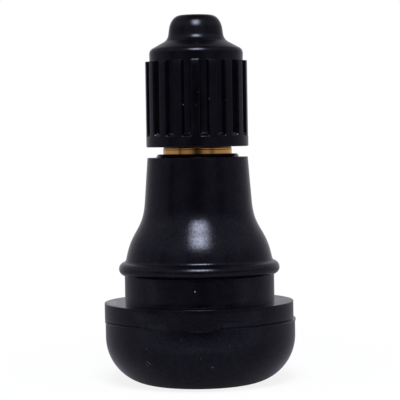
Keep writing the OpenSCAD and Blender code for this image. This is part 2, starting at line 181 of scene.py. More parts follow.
def makeBlack(name, look, marks=()):
    material, tree, where = newMaterial(name)
    blotch = addNode(tree, "ShaderNodeTexNoise", {
        "Vector": where, "Scale": 1 / look["blotch"], "Detail": 4.0, "Roughness": 0.6})
    grain = addNode(tree, "ShaderNodeTexNoise", {"Vector": where, "Scale": 1 / look["grain"], "Detail": 2.0})
    flecks = addNode(tree, "ShaderNodeTexVoronoi", {"Vector": where, "Scale": 1 / look["dustSpacing"]})
    near = addNode(tree, "ShaderNodeMath", {0: flecks, 1: look["dustSize"]}, operation="LESS_THAN")
    pick = addNode(tree, "ShaderNodeSeparateColor", {"Color": flecks.outputs["Color"]})
    few = addNode(tree, "ShaderNodeMath", {
        0: pick.outputs["Red"], 1: look["dustShare"]}, operation="GREATER_THAN")
    dustAndSheen = addNode(tree, "ShaderNodeMath", {0: near, 1: few}, operation="MULTIPLY")
    # the marks are specks and scuffs, and on the rubber also a painted sheen, all drawn in the dust colour
    for place, along, half, width, shade in marks:
        turn = Vector(along).to_track_quat("X", "Z").to_euler()
        local = addNode(tree, "ShaderNodeMapping", {
            "Vector": where, "Location": Vector(place) * mm, "Rotation": turn,
            "Scale": Vector((half, width, width)) * mm}, vector_type="TEXTURE")
        far = addNode(tree, "ShaderNodeVectorMath", {0: local}, operation="LENGTH")
        mark = addNode(tree, "ShaderNodeMapRange", {"Value": far, **markEdge, **gives(shade, 0.0)})
        dustAndSheen = addNode(tree, "ShaderNodeMath", {0: dustAndSheen, 1: mark}, operation="MAXIMUM")
    wear = addNode(tree, "ShaderNodeMapRange", {"Value": blotch, **wornBand})
    tone = addNode(tree, "ShaderNodeMix", {
        0: wear, 6: fromHex(look["colour"]), 7: fromHex(look["worn"])}, data_type="RGBA")
    colour = addNode(tree, "ShaderNodeMix", {0: dustAndSheen, 6: tone, 7: fromHex(look["dustAndSheen"])}, data_type="RGBA")
    rough = addNode(tree, "ShaderNodeMapRange", {"Value": blotch, **noiseBand, **gives(*look["roughness"])})
    bump = addNode(tree, "ShaderNodeBump", {
        "Strength": look["grainDepth"], "Distance": grainHeight, "Height": grain})
    gloss = addNode(tree, "ShaderNodeMapRange", {
        "Value": grain, **noiseBand,
        **gives(look["gloss"] * (1 - look["mottle"]), look["gloss"] * (1 + look["mottle"]))})
    finishMaterial(tree, {
        "Base Color": colour, "Roughness": rough, "Specular IOR Level": gloss,
        "Specular Tint": fromHex(look["glossTint"]), "Normal": bump})
    return material


# brass, turned: bright yellow metal with fine rings left by the tool
brassLook = {
    "colour": "#ffc777", "deep": "#f0b160", "roughness": (0.04, 0.13),
    "toolPitch": 0.11 * mm,  # tool rings, drawn coarser than the real 0.05 mm to show
    "ringDepth": 0.08, "ringHeight": 0.01 * mm, "tarnish": 1.1 * mm,
    "paintedJunctionShade": "#3a1c06",  # painted shade: the brass is drawn dark brown just above the rubber ring, where the two meet
    "paintedJunctionShadeSpan": (22.88 * mm, 22.97 * mm),
}
wavePitch = 2 * math.pi / 20  # a wave texture of scale 1 repeats at this length


def makeBrass(name, look):
    material, tree, where = newMaterial(name)
    rings = addNode(tree, "ShaderNodeTexWave", {
        "Vector": where, "Scale": wavePitch / look["toolPitch"], "Distortion": 0.6, "Detail": 1.0},
        wave_type="BANDS", bands_direction="Z")
    tarnish = addNode(tree, "ShaderNodeTexNoise", {"Vector": where, "Scale": 1 / look["tarnish"], "Detail": 3.0})
    tone = addNode(tree, "ShaderNodeMix", {
        0: tarnish, 6: fromHex(look["colour"]), 7: fromHex(look["deep"])}, data_type="RGBA")
    # painted shade: a thin dark brown band on the brass just above the rubber ring
    height = addNode(tree, "ShaderNodeSeparateXYZ", {0: where})
    edge = addNode(tree, "ShaderNodeMapRange", {"Value": height.outputs["Z"], **reads(*look["paintedJunctionShadeSpan"])})
    tone = addNode(tree, "ShaderNodeMix", {0: edge, 6: fromHex(look["paintedJunctionShade"]), 7: tone}, data_type="RGBA")
    rough = addNode(tree, "ShaderNodeMapRange", {"Value": tarnish, **gives(*look["roughness"])})
    bump = addNode(tree, "ShaderNodeBump", {
        "Strength": look["ringDepth"], "Distance": look["ringHeight"], "Height": rings.outputs["Fac"]})
    finishMaterial(tree, {"Base Color": tone, "Metallic": 1.0, "Roughness": rough, "Normal": bump})
    return material


# spring steel, drawn: bright grey wire with faint lengthwise streaks
steelLook = {"colour": "#c8c9cb", "streak": "#9fa1a4", "roughness": (0.2, 0.4), "streakWidth": 0.06 * mm,
             "stretch": (1, 1, 0.08)}


def makeSteel(name, look):
    material, tree, where = newMaterial(name)
    stretch = addNode(tree, "ShaderNodeMapping", {"Vector": where, "Scale": look["stretch"]})
    streaks = addNode(tree, "ShaderNodeTexNoise", {
        "Vector": stretch, "Scale": 1 / look["streakWidth"], "Detail": 3.0})
    tone = addNode(tree, "ShaderNodeMix", {
        0: streaks, 6: fromHex(look["colour"]), 7: fromHex(look["streak"])}, data_type="RGBA")
    rough = addNode(tree, "ShaderNodeMapRange", {"Value": streaks, **gives(*look["roughness"])})
    finishMaterial(tree, {"Base Color": tone, "Metallic": 1.0, "Roughness": rough})
    return material


# PTFE, turned: a waxy off-white with a soft cloud in it
ptfeLook = {"colour": "#e6e2d6", "cloud": "#cfcabb", "roughness": 0.42, "cloudSize": 0.7 * mm,
            "cloudDepth": 0.1, "cloudHeight": 0.01 * mm}


def makePtfe(name, look):
    material, tree, where = newMaterial(name)
    cloud = addNode(tree, "ShaderNodeTexNoise", {"Vector": where, "Scale": 1 / look["cloudSize"], "Detail": 3.0})
    tone = addNode(tree, "ShaderNodeMix", {
        0: cloud, 6: fromHex(look["colour"]), 7: fromHex(look["cloud"])}, data_type="RGBA")
    bump = addNode(tree, "ShaderNodeBump", {
        "Strength": look["cloudDepth"], "Distance": look["cloudHeight"], "Height": cloud})
    finishMaterial(tree, {"Base Color": tone, "Roughness": look["roughness"], "Normal": bump})
    return material


mouldedRubber = makeBlack("mouldedEpdmRubber", rubberLook, rubberMarksAndSheen)
mouldedNylon = makeBlack("mouldedNylon", capLook, capMarks)
punchedNitrile = makeBlack("punchedNitrile", sealLook)
turnedBrass = makeBrass("turnedBrass", brassLook)
drawnSteel = makeSteel("drawnSpringSteel", steelLook)
turnedPtfe = makePtfe("turnedPtfe", ptfeLook)
print("materials made")


# outlines are lists of (radius, height) in millimetres
def arcPoints(centre, radius, start, end, steps):
    angles = [math.radians(start + (end - start) * i / steps) for i in range(steps + 1)]
    return [(centre[0] + radius * math.cos(a), centre[1] + radius * math.sin(a)) for a in angles]


def roundCorner(before, corner, after, radius, steps):
    corner = Vector(corner)
    u = (Vector(before) - corner).normalized()
    v = (Vector(after) - corner).normalized()
    half = u.angle(v) / 2
    middle = corner + (u + v).normalized() * (radius / math.sin(half))
    p = corner + u * (radius / math.tan(half)) - middle
    q = corner + v * (radius / math.tan(half)) - middle
    start = math.degrees(math.atan2(p.y, p.x))
    turn = (math.degrees(math.atan2(q.y, q.x)) - start + 180) % 360 - 180
    return arcPoints(middle, radius, start, start + turn, steps)


def curvePoints(controls, steps):
    a, b, c, d = (Vector(p) for p in controls)
    shares = [i / steps for i in range(steps + 1)]
    return [tuple((1 - t) ** 3 * a + 3 * (1 - t) ** 2 * t * b + 3 * (1 - t) * t * t * c + t ** 3 * d)
            for t in shares]


# long straight runs get points in between, so that the faces stay even
def divideLong(outline, longest, closed=True):
    points = []
    for a, b in zip(outline, outline[1:] + outline[:1] if closed else outline[1:]):
        count = max(1, math.ceil(math.dist(a, b) / longest))
        points += [(a[0] + (b[0] - a[0]) * i / count, a[1] + (b[1] - a[1]) * i / count) for i in range(count)]
    return points if closed else points + outline[-1:]


def onCircle(radius, height, angle):
    return (radius * math.cos(angle), radius * math.sin(angle), height)


# one loop of points round Z; spot gives the place in mm at an angle
def addLoop(shape, count, spot):
    return [shape.verts.new(Vector(spot(2 * math.pi * i / count)) * mm) for i in range(count)]


# faces from each loop to the next, and from the last to the first
def faceLoops(shape, loops):
    count = len(loops[0])
    for low, high in zip(loops, loops[1:] + loops[:1]):
        for i in range(count):
            j = (i + 1) % count
            shape.faces.new((low[i], low[j], high[j], high[i]))


def toMesh(name, shape):
    mesh = bpy.data.meshes.new(name)
    shape.to_mesh(mesh)
    shape.free()
    return mesh


def closeShape(name, shape):
    bmesh.ops.remove_doubles(shape, verts=shape.verts, dist=0.0005 * mm)
    bmesh.ops.dissolve_degenerate(shape, edges=shape.edges, dist=0.0002 * mm)
    bmesh.ops.recalc_face_normals(shape, faces=shape.faces)
    return toMesh(name, shape)


# turns a closed outline round Z; place may bend each point out of the true circle
def turnOutline(name, outline, segments, place=onCircle):
    shape = bmesh.new()
    faceLoops(shape, [addLoop(shape, segments, lambda angle: place(radius, height, angle))
                      for radius, height in outline])
    return closeShape(name, shape)


def joinMeshes(name, meshes):
    shape = bmesh.new()
    for mesh in meshes:
        shape.from_mesh(mesh)
    return toMesh(name, shape)


def showPiece(name, mesh, material, sharp):
    mesh.materials.clear()
    mesh.materials.append(material)
    for face in mesh.polygons:
        face.use_smooth = True
        face.material_index = 0
    mesh.set_sharp_from_angle(angle=math.radians(sharp))
    piece = bpy.data.objects.new(name, mesh)
    scene.collection.objects.link(piece)
    return piece


# runs a node tree on a mesh and gives back the plain mesh that it makes
def growMesh(name, tree, values, mesh=None):
    host = bpy.data.objects.new(name, mesh or bpy.data.meshes.new(name))
    scene.collection.objects.link(host)
    step = host.modifiers.new(name, "NODES")
    step.node_group = tree
    for item in tree.interface.items_tree:
        if item.in_out == "INPUT" and item.name in values:
            step[item.identifier] = values[item.name]
    grown = bpy.data.meshes.new_from_object(host.evaluated_get(bpy.context.evaluated_depsgraph_get()))
    host.modifiers.remove(step)
    bpy.data.objects.remove(host)
    return grown


def closeMesh(name, mesh):
    shape = bmesh.new()
    shape.from_mesh(mesh)
    return closeShape(name, shape)


def newTree(name, inputs):
    tree = bpy.data.node_groups.new(name, "GeometryNodeTree")
    kinds = {float: "NodeSocketFloat", int: "NodeSocketInt"}
    for label, kind in inputs.items():
        tree.interface.new_socket(name=label, in_out="INPUT", socket_type=kinds.get(kind, kind))
    tree.interface.new_socket(name="Geometry", in_out="OUTPUT", socket_type="NodeSocketGeometry")
    return tree, addNode(tree, "NodeGroupInput").outputs


def finishTree(tree, geometry, material):
    whole = addNode(tree, "GeometryNodeRealizeInstances", {"Geometry": geometry})
    dressed = addNode(tree, "GeometryNodeSetMaterial", {"Geometry": whole, "Material": material})
    addNode(tree, "NodeGroupOutput", {"Geometry": dressed})
    return tree


# right-handed screw thread: a trapezium swept up a helix, tapering away at both ends;
# a negative depth points inwards
def makeThreadTree():
    tree, given = newTree("screwThread", {
        "Pitch": float, "Turns": float, "Start Height": float, "Radius": float, "Root Width": float,
        "Crest Width": float, "Depth": float, "Steps": int, "Material": "NodeSocketMaterial"})
    rise = addNode(tree, "ShaderNodeMath", {0: given["Pitch"], 1: given["Turns"]}, operation="MULTIPLY")
    helix = addNode(tree, "GeometryNodeCurveSpiral", {
        "Resolution": given["Steps"], "Rotations": given["Turns"], "Start Radius": given["Radius"],
        "End Radius": given["Radius"], "Height": rise, "Reverse": True})
    lift = addNode(tree, "ShaderNodeCombineXYZ", {"Z": given["Start Height"]})
    placed = addNode(tree, "GeometryNodeSetPosition", {"Geometry": helix, "Offset": lift})
    upright = addNode(tree, "GeometryNodeSetCurveNormal", {"Curve": placed}, mode="Z_UP")
    along = addNode(tree, "GeometryNodeSplineParameter").outputs["Factor"]
    behind = addNode(tree, "ShaderNodeMath", {0: along, 1: given["Turns"]}, operation="MULTIPLY")
    ahead = addNode(tree, "ShaderNodeMath", {0: given["Turns"], 1: behind}, operation="SUBTRACT")
    least = addNode(tree, "ShaderNodeMath", {0: behind, 1: ahead}, operation="MINIMUM")
    # full depth from half a turn in
    taper = addNode(tree, "ShaderNodeMapRange", {"Value": least, "From Max": 0.5, "To Min": 0.05})
    points = {}
    corners = (("Root Width", -0.5, 0.0), ("Crest Width", -0.5, given["Depth"]),
               ("Crest Width", 0.5, given["Depth"]), ("Root Width", 0.5, 0.0))
    for i, (width, side, depth) in enumerate(corners):
        half = addNode(tree, "ShaderNodeMath", {0: given[width], 1: side}, operation="MULTIPLY")
        points["Point %d" % (i + 1)] = addNode(tree, "ShaderNodeCombineXYZ", {"X": depth, "Y": half})
    section = addNode(tree, "GeometryNodeCurvePrimitiveQuadrilateral", points, mode="POINTS")
    swept = addNode(tree, "GeometryNodeCurveToMesh", {
        "Curve": upright, "Profile Curve": section, "Scale": taper, "Fill Caps": True})
    return finishTree(tree, swept, given["Material"])


threadTree = makeThreadTree()
threadSteps = 72  # points in a turn


def cutThread(name, thread, material):
    values = {"Pitch": thread["pitch"] * mm, "Turns": (thread["end"] - thread["start"]) / thread["pitch"],
              "Start Height": thread["start"] * mm, "Radius": thread["radius"] * mm,
              "Root Width": thread["rootWidth"] * mm, "Crest Width": thread["crestWidth"] * mm,
              "Depth": thread["depth"] * mm, "Steps": threadSteps, "Material": material}
    return closeMesh(name, growMesh(name, threadTree, values))


# rubber body, moulded round the stem: base, rim groove, bead, bell and neck
rubberSize = {
    "baseR": 9.49, "baseH": 8.15, "footRound": 4.74, "footFlat": 4.2, "airHoleR": 2.0,
    "mouldLine": 6.33, "mouldStep": 0.04, "flash": 0.09,
    # rows of points at the mould line: height above it, the side it starts from and the reach past that
    "lineRows": ((-0.6, "base", 0.0), (-0.1, "base", 0.0), (-0.07, "base", 0.0), (-0.05, "lip", -0.04),
                 (-0.01, "lip", 0.0), (0.02, "lip", -0.03), (0.06, "flange", -0.034), (0.12, "flange", -0.02),
                 (0.2, "flange", 0.0)),
    "tuckRow": 0.06, "leftTuck": 0.0612,  # the row tucked in over the lip, and how much deeper it goes on the left
    # the two mould halves didn't meet exactly: where they part, how far out that shows, and by how much
    "partAbove": 0.03, "flangeFrom": 7.6, "flangeShift": -0.085, "flangeSlack": 0.02,
    "baseFrom": 4.9, "baseShift": 0.02,
    # waves that make the flash ragged and its line wander: size, pace and seed; the wander fades up and down
    "flashFrom": 8.5, "ragged": ((1.0, 6, 0.3), (0.6, 17, 4.1)),
    "wander": ((0.05, 2.5, 7.7), (0.03, 9, 2)), "wanderFade": 0.5,
    # least and most of the lip cut off, and how far its sides and its raggedness are spared
    "lipCut": (0.1, 0.96), "lipSides": 0.9, "lipRagged": 0.3,
    # by height above the line: how far the lip hangs down at the sides
    "lipDrop": {-0.1: 0.16, -0.07: 0.15, -0.05: 0.13, -0.01: 0.06},
    # the lip is trimmed off in front, and the line sags there: where each starts and ends in degrees, and its fade
    "trimmed": ((-24, 8), (18, 6)), "dipped": ((-36, 9), (15, 9)), "lineDip": 0.26,
    # by height above the line: where the halves meet in a crack, the reach past the flange and the height there
    "crack": {-0.6: (0.036, -0.6), -0.1: (0.022, -0.1), -0.07: (0.021, -0.07), -0.05: (0.018, 0.0),
              -0.01: (0.018, 0.0), 0.02: (0.018, 0.0), 0.06: (-0.05, 0.004), 0.12: (-0.05, 0.03),
              0.2: (0.0, 0.034)},
    "seatR": 7.48, "seatW": 2.69, "seatFillet": 0.008,
    "beadR": 8.04, "beadT": 1.35, "beadFillet": 0.42, "flangeRound": 0.04,
    "bellR": 7.355, "bellH": 6.01, "bellLean": 9.6, "bellPull": 0.5635, "neckPull": 0.512, "bellSpare": 0.02,
    "neckLowR": 5.35, "neckTopR": 5.02, "neckL": 4.36, "neckEdge": 0.01,
    "ringR": 4.16, "ringTopR": 3.98, "ringH": 0.33, "ringFillet": 0.05, "ringEdge": 0.1,
    "longest": 0.5, "segments": 240,
}
# outline of the stem where the rubber holds it
stemGrip = {"footR": 4.7, "footZ": 5.6, "footT": 1.0, "shankR": 3.75, "rootR": 3.4, "count": 4, "pitch": 1.8,
            "floorW": 0.35, "waistR": 3.43, "waistRoot": 1.0, "bond": 0.02}


def gripOutline(grip, top, gap):
    foot, shank, root, half = grip["footR"], grip["shankR"], grip["rootR"], grip["floorW"] / 2
    depth = shank - root
    shoulder = grip["footZ"] + grip["footT"]
    points = [(foot, grip["footZ"]), (foot, shoulder), (shank, shoulder + foot - shank)]
    for i in reversed(range(grip["count"])):
        middle = top - grip["pitch"] * (i + 1)
        points += [(shank, middle - half - depth), (root, middle - half), (root, middle + half),
                   (shank, middle + half + depth)]
    points += [(shank, top - shank + grip["waistR"]), (grip["waistR"], top)]
    return [(radius + gap, height) for radius, height in points]


def rubberLevels(size):
    bead = size["baseH"] + size["seatW"] + size["beadT"] / 2
    bell = bead + size["beadT"] / 2
    neck = bell + size["bellH"]
    top = neck + size["neckL"]
    return bead, bell, neck, top, top + size["ringH"]


beadZ, bellZ, neckZ, neckTopZ, ringZ = rubberLevels(rubberSize)


# 1 between two angles and 0 outside; each end is the angle where it is 0, and the degrees that it fades over
def fadeBetween(angle, start, end):
    return max(0.0, min(1.0, (angle - start[0]) / start[1], (end[0] - angle) / end[1]))


def sumWaves(waves, x, y):
    return sum(size * noise.noise(Vector((x * pace, y * pace, seed))) for size, pace, seed in waves)


def makeRubberBody(size):
    base, line, bellR = size["baseR"], size["mouldLine"], size["bellR"]
    neckLow, neckTop = size["neckLowR"], size["neckTopR"]
    upper = base - size["mouldStep"]
    beadHalf = size["beadT"] / 2
    beadMiddle = size["beadR"] - beadHalf
    pull, neckPull = size["bellPull"] * size["bellH"], size["neckPull"] * size["bellH"]
    lean = (neckLow - neckTop) / size["neckL"]
    seat = (size["seatR"], size["baseH"])
    outline = [(size["airHoleR"], 0.0), (size["footFlat"], 0.0)]
    outline += roundCorner((0, 0), (base, 0), (base, line), size["footRound"], 26)
    sides = {"base": base, "lip": base + size["flash"], "flange": upper}
    outline += [(sides[side] + out, line + above) for above, side, out in size["lineRows"]]
    outline += roundCorner((upper, line), (upper, size["baseH"]), seat, size["flangeRound"], 4)
    outline += roundCorner((upper, size["baseH"]), seat, (size["seatR"], beadZ), size["seatFillet"], 5)
    # the fillet's middle lies one fillet radius off the bell's slope and off the bead
    slope = math.radians(size["bellLean"])
    fillet = size["beadFillet"]
    reach = Vector((bellR + fillet * math.cos(slope) - beadMiddle, bellZ + fillet * math.sin(slope) - beadZ))
    climb = Vector((-math.sin(slope), math.cos(slope)))
    part = reach.dot(climb)
    rise = math.sqrt(part * part + (beadHalf + fillet) ** 2 - reach.length_squared) - part
    middle = Vector((beadMiddle, beadZ)) + reach + climb * rise
    top = math.degrees(math.atan2(middle.y - beadZ, middle.x - beadMiddle))
    outline += arcPoints((beadMiddle, beadZ), beadHalf,
                         -math.degrees(math.acos((size["seatR"] - beadMiddle) / beadHalf)), top, 20)
    outline += arcPoints(middle, fillet, top + 180, 180 + size["bellLean"], 8)[1:]
    bell = curvePoints([(bellR, bellZ), (bellR - pull * math.tan(slope), bellZ + pull),
                        (neckLow + neckPull * lean, neckZ - neckPull), (neckLow, neckZ)], 36)
    outline += [spot for spot in bell if spot[1] > outline[-1][1] + size["bellSpare"]]
    neckEdge, ringFoot = (neckTop, neckTopZ), (size["ringR"], neckTopZ)
    ringTop = (size["ringTopR"], ringZ)
    outline += roundCorner((neckLow, neckZ), neckEdge, ringFoot, size["neckEdge"], 4)
    outline += roundCorner(neckEdge, ringFoot, ringTop, size["ringFillet"], 3)
    outline += roundCorner(ringFoot, ringTop, (0, ringZ), size["ringEdge"], 5)
    inside = gripOutline(stemGrip, neckTopZ - stemGrip["waistRoot"], stemGrip["bond"])
    outline += [(stemGrip["waistR"] + stemGrip["bond"], ringZ)] + inside[::-1]
    outline += [(size["airHoleR"], stemGrip["footZ"])]
    lipRows = [above for above, side, out in size["lineRows"] if side == "lip"]
    least, most = size["lipCut"]

    # the flash is ragged, its line wanders a little, and the flange sits off the base
    def mouldedSpot(radius, height, angle):
        x, y = math.cos(angle), math.sin(angle)
        above = round(height - line, 3)
        shift = 0.0
        if height <= line + size["partAbove"]:
            shift = size["baseShift"] if radius > size["baseFrom"] else 0.0
        elif height < size["baseH"] + size["flangeSlack"] and radius > size["flangeFrom"]:
            shift = size["flangeShift"]
        if radius > size["flashFrom"]:
            ragged, wander = sumWaves(size["ragged"], x, y), sumWaves(size["wander"], x, y)
            share = max(0.0, 1 - abs(height - line) / size["wanderFade"])
            if above in lipRows:
                spared = size["lipSides"] * abs(x) ** 4 + size["lipRagged"] * ragged * abs(x)
                cut = min(most, max(least, most - spared))
                radius -= (radius - base) * cut
                height -= (height - line) * cut
            elif above == size["tuckRow"]:
                radius -= size["leftTuck"] * max(0.0, -x)
            height -= size["lipDrop"].get(above, 0.0) * abs(x) ** 6
            front = math.degrees(math.atan2(x, -y))
            trimmed = fadeBetween(front, *size["trimmed"])
            if above in size["crack"]:
                out, rise = size["crack"][above]
                radius += (upper + out - radius) * trimmed
                height += (line + rise - height) * trimmed
            sag = size["lineDip"] * fadeBetween(front, *size["dipped"])
            height += (wander - sag) * share
        return (radius * x + shift, radius * y, height)

    return turnOutline("rubberBody", divideLong(outline, size["longest"]), size["segments"], mouldedSpot)


rubberBody = showPiece("rubberBody", makeRubberBody(rubberSize), mouldedRubber, 24)
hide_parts("rubber_body")
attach(rubberBody, "valve")
print("rubber body made:", len(rubberBody.data.polygons), "faces")


# brass stem: turned, with the standard valve thread outside and the core thread inside
stemSize = {
    "waistL": 1.1, "waistStep": 0.05, "mouth": 32.2, "mouthEdge": 0.04, "coreR": 3.37, "tapEdge": 0.1,
    "tappedR": 2.66, "tapEndR": 2.178, "taperR": 1.82, "shoulderZ": 23.45, "sealEndZ": 20.35,
    "thread": {"pitch": 0.79375, "start": 24.25, "end": 31.95, "radius": 3.33, "rootWidth": 0.62,
               "crestWidth": 0.11, "depth": 0.515},
    "tap": {"pitch": 0.70556, "start": 24.79722, "end": 31.9, "radius": 2.69, "rootWidth": 0.5,
            "crestWidth": 0.14, "depth": -0.37},
    # height, half width and depth of marks left by the tool
    "toolRings": ((23.34, 0.04, 0.03), (23.54, 0.07, 0.05)),
    "longest": 0.6, "segments": 144,
}


def makeBrassStem(size):
    core, tapped, waist = size["coreR"], size["tappedR"], stemGrip["waistR"]
    mouth, edge, tapEdge = size["mouth"], size["mouthEdge"], size["tapEdge"]
    tapEndZ = size["shoulderZ"] + tapped - size["tapEndR"]
    waistTop = ringZ + size["waistL"]
    outline = [(size["taperR"], stemGrip["footZ"])]
    outline += gripOutline(stemGrip, neckTopZ - stemGrip["waistRoot"], 0.0)
    for middle, half, depth in size["toolRings"]:
        outline += [(waist, middle - half), (waist - depth, middle), (waist, middle + half)]
    outline += [(waist, waistTop), (core, waistTop + size["waistStep"]), (core, mouth - edge),
                (core - edge, mouth), (tapped + tapEdge, mouth), (tapped, mouth - tapEdge), (tapped, tapEndZ),
                (size["tapEndR"], size["shoulderZ"]), (size["taperR"], size["sealEndZ"])]
    body = turnOutline("stemBody", divideLong(outline, size["longest"]), size["segments"])
    outer = cutThread("valveThread", size["thread"], turnedBrass)
    inner = cutThread("coreTap", size["tap"], turnedBrass)
    return joinMeshes("brassStem", [body, outer, inner])


brassStem = showPiece("brassStem", makeBrassStem(stemSize), turnedBrass, 30)
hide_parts("brass_stem")
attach(brassStem, "valve")
print("brass stem made:", len(brassStem.data.polygons), "faces")


# core plug: threaded, with the bridge that a key turns and the hole for the pin
plugSize = {
    "rootR": 2.2, "topZ": 28.2, "endZ": 24.9, "edge": 0.2, "boreR": 1.3, "rootStep": 0.05,
    "skirtR": 2.1, "skirtEndZ": 23.5, "skirtEdge": 0.25, "lipR": 1.37, "lipZ": 23.9,
    "cavityR": 1.7, "cavityZ": 24.55,
    "bridgeW": 3.8, "bridgeT": 1.5, "bridgeTopZ": 29.8, "bridgeRoot": 0.8, "bridgeRound": 0.12,
    "bridgeBreak": 0.3,  # share of the rounding at its middle row
    "bridgeSides": 48, "pinHoleR": 0.63,
    # starts half a pitch above a turn of the tapped thread
    "thread": {"pitch": 0.70556, "start": 25.15, "end": 27.95, "radius": 2.17, "rootWidth": 0.52,
               "crestWidth": 0.1, "depth": 0.405},
    "longest": 0.5, "segments": 96,
}


def makeBridge(size):
    half, reach = size["bridgeT"] / 2, size["bridgeW"] / 2
    low, high = size["topZ"] - size["bridgeRoot"], size["bridgeTopZ"]
    edge = size["bridgeRound"]
    broken = size["bridgeBreak"] * edge

    def bridgeSpot(cut, height, angle):
        x, y, height = onCircle(reach - cut, height, angle)
        return (x, max(cut - half, min(half - cut, y)), height)

    shape = bmesh.new()
    loops = [addLoop(shape, size["bridgeSides"], lambda angle: bridgeSpot(cut, height, angle))
             for cut, height in ((0, low), (0, high - edge), (broken, high - broken), (edge, high))]
    loops += [addLoop(shape, size["bridgeSides"], lambda angle: onCircle(size["pinHoleR"], height, angle))
              for height in (high, low)]
    faceLoops(shape, loops)
    return closeShape("bridge", shape)


def makeCorePlug(size):
    lip, skirt, root, bore, cavity = (size[key] for key in ("lipR", "skirtR", "rootR", "boreR", "cavityR"))
    skirtEnd, top = size["skirtEndZ"], size["topZ"]
    outline = [(lip, skirtEnd), (skirt - size["skirtEdge"], skirtEnd), (skirt, skirtEnd + size["skirtEdge"]),
               (skirt, size["endZ"]), (root, size["endZ"] + size["rootStep"]), (root, top - size["edge"]),
               (root - size["edge"], top), (bore, top), (bore, size["cavityZ"]), (cavity, size["cavityZ"]),
               (cavity, size["lipZ"]), (lip, size["lipZ"])]
    body = turnOutline("plugBody", divideLong(outline, size["longest"]), size["segments"])
    return joinMeshes("corePlug", [body, cutThread("plugThread", size["thread"], turnedBrass), makeBridge(size)])


corePlug = showPiece("corePlug", makeCorePlug(plugSize), turnedBrass, 30)
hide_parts("core_plug")
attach(corePlug, "plug")
print("core plug made:", len(corePlug.data.polygons), "faces")


# core spring: eleven turns of wire, the end turns wound nearly flat
springSize = {"coilR": 0.825, "wireR": 0.13, "low": 15.99, "rise": 7.12, "turns": 11, "endRise": 0.117,
              "floor": 15.85, "length": 7.4, "stroke": 1.3, "steps": 32, "wireSides": 12}


def makeSpringTree(size):
    tree, given = newTree("coilSpring", {
        "Coil Radius": float, "Wire Radius": float, "Turns": float, "Low End": float, "Rise": float,
        "Steps": int, "Material": "NodeSocketMaterial"})
    flat = addNode(tree, "GeometryNodeCurveSpiral", {
        "Resolution": given["Steps"], "Rotations": given["Turns"], "Height": 0.0,
        "Start Radius": given["Coil Radius"], "End Radius": given["Coil Radius"], "Reverse": True})
    along = addNode(tree, "GeometryNodeSplineParameter").outputs["Factor"]
    pace = addNode(tree, "ShaderNodeFloatCurve", {"Value": along})
    endShare, endTurn = size["endRise"] / size["rise"], 1 / size["turns"]
    points = pace.mapping.curves[0].points
    points.new(endTurn, endShare)
    points.new(1 - endTurn, 1 - endShare)
    pace.mapping.update()
    climb = addNode(tree, "ShaderNodeMath", {0: pace, 1: given["Rise"], 2: given["Low End"]},
                    operation="MULTIPLY_ADD")
    up = addNode(tree, "ShaderNodeCombineXYZ", {"Z": climb})
    wound = addNode(tree, "GeometryNodeSetPosition", {"Geometry": flat, "Offset": up})
    wire = addNode(tree, "GeometryNodeCurvePrimitiveCircle", {
        "Resolution": size["wireSides"], "Radius": given["Wire Radius"]})
    drawn = addNode(tree, "GeometryNodeCurveToMesh", {"Curve": wound, "Profile Curve": wire, "Fill Caps": True})
    return finishTree(tree, drawn, given["Material"])


springMesh = growMesh("coreSpring", makeSpringTree(springSize), {
    "Coil Radius": springSize["coilR"] * mm, "Wire Radius": springSize["wireR"] * mm,
    "Turns": float(springSize["turns"]), "Low End": springSize["low"] * mm, "Rise": springSize["rise"] * mm,
    "Steps": springSize["steps"], "Material": drawnSteel})
coreSpring = showPiece("coreSpring", springMesh, drawnSteel, 50)
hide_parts("core_spring")
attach(coreSpring, "core")
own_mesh(coreSpring)
print("core spring made:", len(coreSpring.data.polygons), "faces")


# screw cap: one rib's slice of the whole cap, repeated round the axis
capSize = {
    "bottom": 23.61, "outerR": 5.1, "edgeRound": 0.12, "boreR": 3.9, "leadIn": 0.18, "roof": 32.8,
    "hollowR": 1.6, "hollowTop": 35.6, "hollowEdge": 0.3,
    "bandTop": 24.66, "bandEdge": 0.3, "runOut": 24.95, "ribTop": 32.12, "grooveR": 4.66,
    "ribs": 18, "ribRows": 8, "boreRows": 6, "longest": 0.5,
    "shoulderR": 4.68, "shoulderZ": 33.25, "shoulderRound": 0.62,
    "domeFootR": 2.81, "domeFootZ": 34.28, "domeFillet": 1.0, "domeR": 2.655, "domeZ": 35.383, "domeRise": 0.633,
    "flatR": 1.5, "flatReach": 0.655, "top": 36.71,
    # angle from the middle of a rib in degrees, and the share of the groove's depth there
    "ribShape": ((0, 0), (1.6, 0), (3.2, 0), (4.2, 0.0), (4.55, 0.03), (4.85, 0.11), (5.05, 0.24), (5.75, 0.8),
                 (5.95, 0.92), (6.3, 1), (7.4, 1), (8.7, 1), (10, 1)),
    # rounding at a rib's top: out from the groove or from the rib, and up from the top
    "ribFoot": ((0.0, 0.06), (0.008, 0.02), (0.03, 0.0)),
    "ribEdge": ((-0.05, 0.0), (-0.015, -0.015), (0.0, -0.05)),
    # where a groove runs out: share of its depth, and of the rise from the plain band
    "runOutShape": ((1.0, 1.22), (0.985, 1.08), (0.94, 0.99), (0.86, 0.86), (0.5, 0.5), (0.14, 0.14),
                    (0.06, 0.01), (0.015, -0.08), (0.0, -0.22)),
    "runOutStart": 0.08,  # the last plain row of a rib would come this far above the run-out
    # starts half a pitch above the stem's thread, so that the ridges interlock
    "thread": {"pitch": 0.79375, "start": 24.646875, "end": 31.4, "radius": 3.95, "rootWidth": 0.62,
               "crestWidth": 0.2, "depth": -0.4},
}


